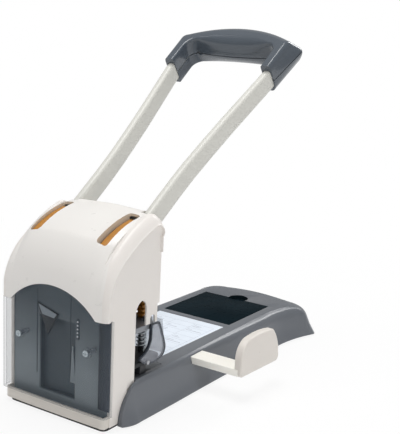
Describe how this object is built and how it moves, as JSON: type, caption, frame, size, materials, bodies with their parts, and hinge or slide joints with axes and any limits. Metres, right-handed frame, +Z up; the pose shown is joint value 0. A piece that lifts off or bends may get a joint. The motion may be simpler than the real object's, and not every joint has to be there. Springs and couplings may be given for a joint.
{
  "type": "two-hole punch",
  "caption": "Heavy-duty paper punch: grey base with a hinged tray lid, white head with a smoke window, geared lever handle with a loop grip, and a sliding paper guide.",
  "frame": {"origin": "on the surface the punch stands on, midway between the two punches' axes", "axes": "+Z up, +Y from the head towards the base's far end, +X towards the side with the paper guide"},
  "size_m": [0.202, 0.3776, 0.3492],
  "materials": {
    "grey_shell": "metallic grey moulding, fine texture",
    "steel_plate": "rolled and zinc plated",
    "rubber": "matte",
    "zinc": "bright zinc",
    "card": "printed card, plain grey lines",
    "dark_plastic": "fine texture",
    "tool_steel": "ground and hardened",
    "slate_gloss": "polished",
    "white_gloss": "smooth gloss",
    "cream_panel": "smooth satin",
    "smoke_clear": "smoke-tinted clear plastic",
    "bright_screw": "polished",
    "panel_grey": "fine texture",
    "pale_vane": "satin",
    "black_plate": "satin",
    "scale_strip": "satin with plain dots",
    "spring_steel": "drawn wire",
    "bronze": "sintered bronze",
    "cast_block": "blackened",
    "die_steel": "ground",
    "guard_clear": "clear plastic",
    "arm_white": "gloss powder coat",
    "amber_gear": "amber acetal",
    "grip_grey": "semi-gloss",
    "bar_grey": "satin",
    "rail_cream": "smooth",
    "paddle_cream": "smooth satin",
    "drawer_grey": "fine texture"
  },
  "bodies": {
    "body": {"base_screws": "zinc", "base_shell": "grey_shell", "block_screws": "zinc", "cheek_left": "cream_panel", "cheek_right": "cream_panel", "cover_screws": "bright_screw", "depth_scale": "scale_strip", "die_plate": "die_steel", "die_screws": "zinc", "finger_guard": "guard_clear", "floor_plate": "steel_plate", "format_card": "card", "frame_bolts": "zinc", "frame_left": "steel_plate", "frame_right": "steel_plate", "front_cover": "smoke_clear", "front_sill": "white_gloss", "guard_screws": "zinc", "guide_block": "cast_block", "hood": "white_gloss", "inner_panel": "panel_grey", "lid_pin": "zinc", "paper_stop": "dark_plastic", "pivot_shaft": "tool_steel", "pocket_blade": "pale_vane", "pointer_plate": "black_plate", "rack_guide": "steel_plate", "rack_guide_screws": "zinc", "rear_feet": "rubber", "rubber_mat": "rubber", "shaft_bushes": "bronze", "shaft_clips": "spring_steel", "side_seal": "rubber", "spacer_sleeves": "zinc", "spare_punches": "tool_steel", "storage_tray": "dark_plastic", "tie_rods": "zinc"},
    "handle": {"arm_left": "arm_white", "arm_right": "arm_white", "sector_left": "amber_gear", "sector_right": "amber_gear", "sector_bolts": "zinc", "grip_top": "grip_grey", "grip_bottom": "grip_grey", "grip_core": "steel_plate", "core_screws": "zinc", "grip_screws": "zinc"},
    "punch_unit": {"pressure_bar": "bar_grey", "rack_left": "amber_gear", "rack_right": "amber_gear", "rack_clamps": "zinc", "punch_left": "tool_steel", "punch_right": "tool_steel", "return_spring_left": "spring_steel", "return_spring_right": "spring_steel"},
    "guide": {"guide_rail": "rail_cream", "guide_paddle": "paddle_cream"},
    "lid": {"tray_lid": "slate_gloss"},
    "drawer": {"chip_drawer": "drawer_grey"}
  },
  "joints": [
    {"name": "handle_hinge", "type": "hinge", "parent": "body", "child": "handle", "pos_m": [0, -0.032, 0.149], "axis": [-1, 0, 0], "range_deg": [0, 31.32], "stiffness_Nm_per_rad": 2, "springref_deg": -51.57},
    {"name": "punch_slide", "type": "slide", "parent": "body", "child": "punch_unit", "axis": [0, 0, -1], "range_m": [0, 0.0155], "deforming": ["return_spring_left", "return_spring_right"]},
    {"name": "guide_slide", "type": "slide", "parent": "body", "child": "guide", "axis": [1, 0, 0], "range_m": [-0.04, 0.04]},
    {"name": "lid_hinge", "type": "hinge", "parent": "body", "child": "lid", "pos_m": [0, 0.1556, 0.0355], "axis": [1, 0, 0], "range_deg": [0, 100]},
    {"name": "drawer_slide", "type": "slide", "parent": "body", "child": "drawer", "axis": [-1, 0, 0], "range_m": [0, 0.085]}
  ],
  "couplings": [
    {"joint": "punch_slide", "follows": "handle_hinge", "m_per_rad": 0.02835}
  ]
}
